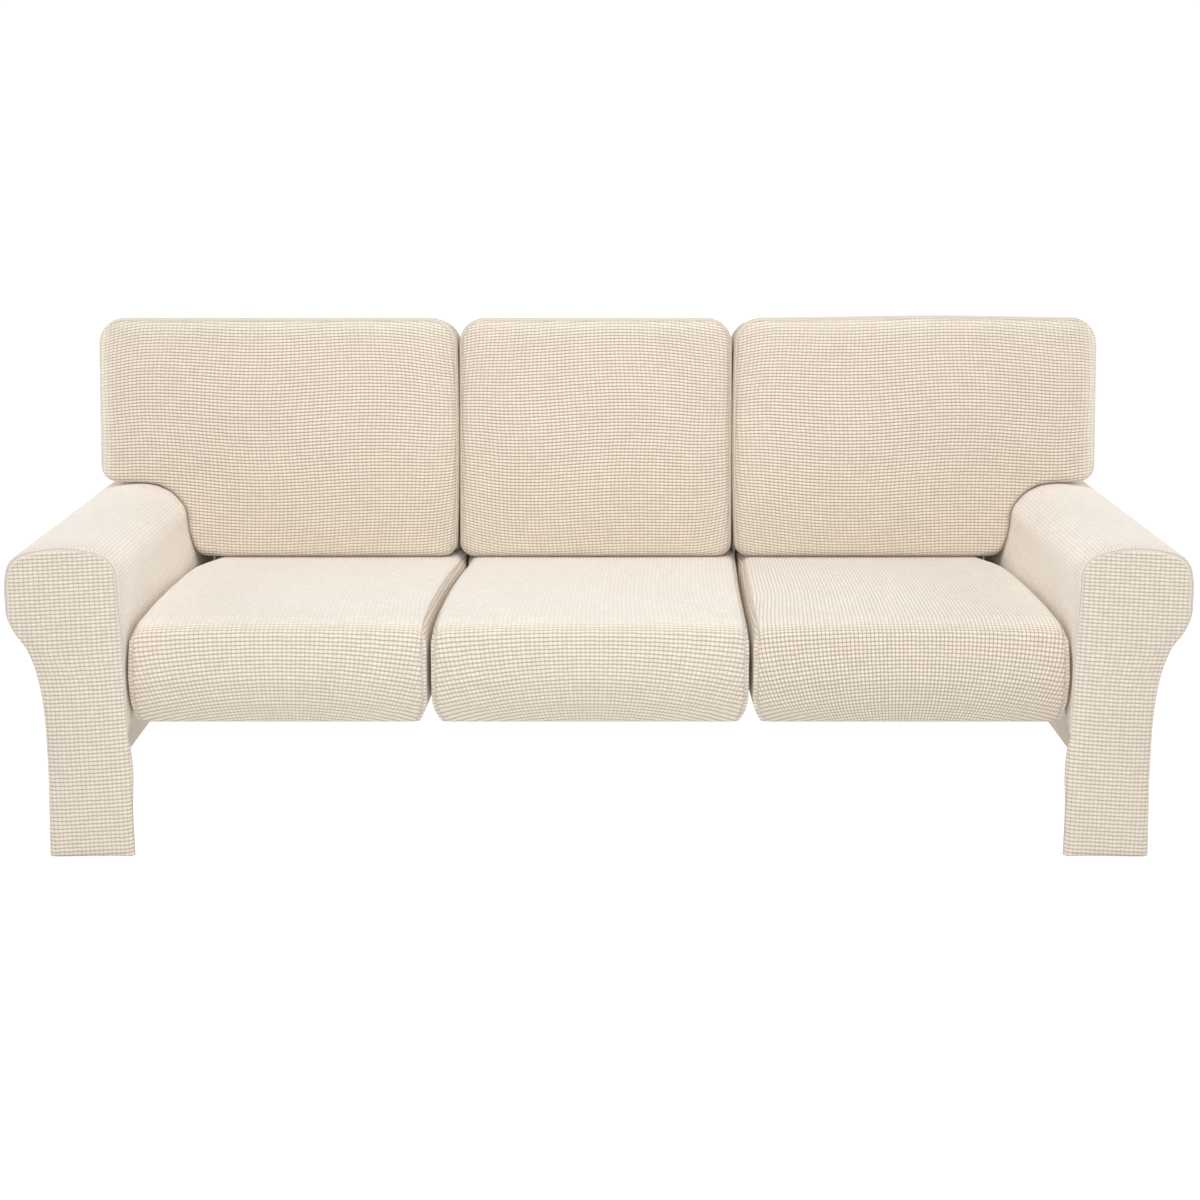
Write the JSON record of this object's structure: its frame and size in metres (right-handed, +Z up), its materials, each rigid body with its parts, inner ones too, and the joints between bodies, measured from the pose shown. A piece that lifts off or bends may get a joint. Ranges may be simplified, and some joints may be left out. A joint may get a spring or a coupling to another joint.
{
  "type": "sofa slipcover",
  "caption": "Fitted stretch slipcover set for a sofa with rolled arms: separate covers for the back cushions, the seat cushions and the arms, hollow and as worn.",
  "frame": {"origin": "under the top of the middle back cover, midway between the arms and midway through the cover's thickness, where the top of the sofa's middle back cushion carries it; the floor lies at z = -0.944", "axes": "+X to the right across the sofa, as seen from the front; +Y from the front to the rear; +Z up"},
  "size_m": [2.2014, 0.905, 0.946],
  "materials": {
    "cream_jacquard": "matte knitted jacquard with a small raised check"
  },
  "bodies": {
    "root": {"back_left_front": "cream_jacquard", "back_left_boxing": "cream_jacquard", "back_middle_front": "cream_jacquard", "back_middle_boxing": "cream_jacquard", "back_right_front": "cream_jacquard", "back_right_boxing": "cream_jacquard", "seat_left_top": "cream_jacquard", "seat_left_gusset_out": "cream_jacquard", "seat_left_gusset_in": "cream_jacquard", "seat_middle_top": "cream_jacquard", "seat_middle_gusset_left": "cream_jacquard", "seat_middle_gusset_right": "cream_jacquard", "seat_right_top": "cream_jacquard", "seat_right_gusset_in": "cream_jacquard", "seat_right_gusset_out": "cream_jacquard", "arm_left_front": "cream_jacquard", "arm_left_body": "cream_jacquard", "arm_right_front": "cream_jacquard", "arm_right_body": "cream_jacquard"}
  },
  "joints": []
}
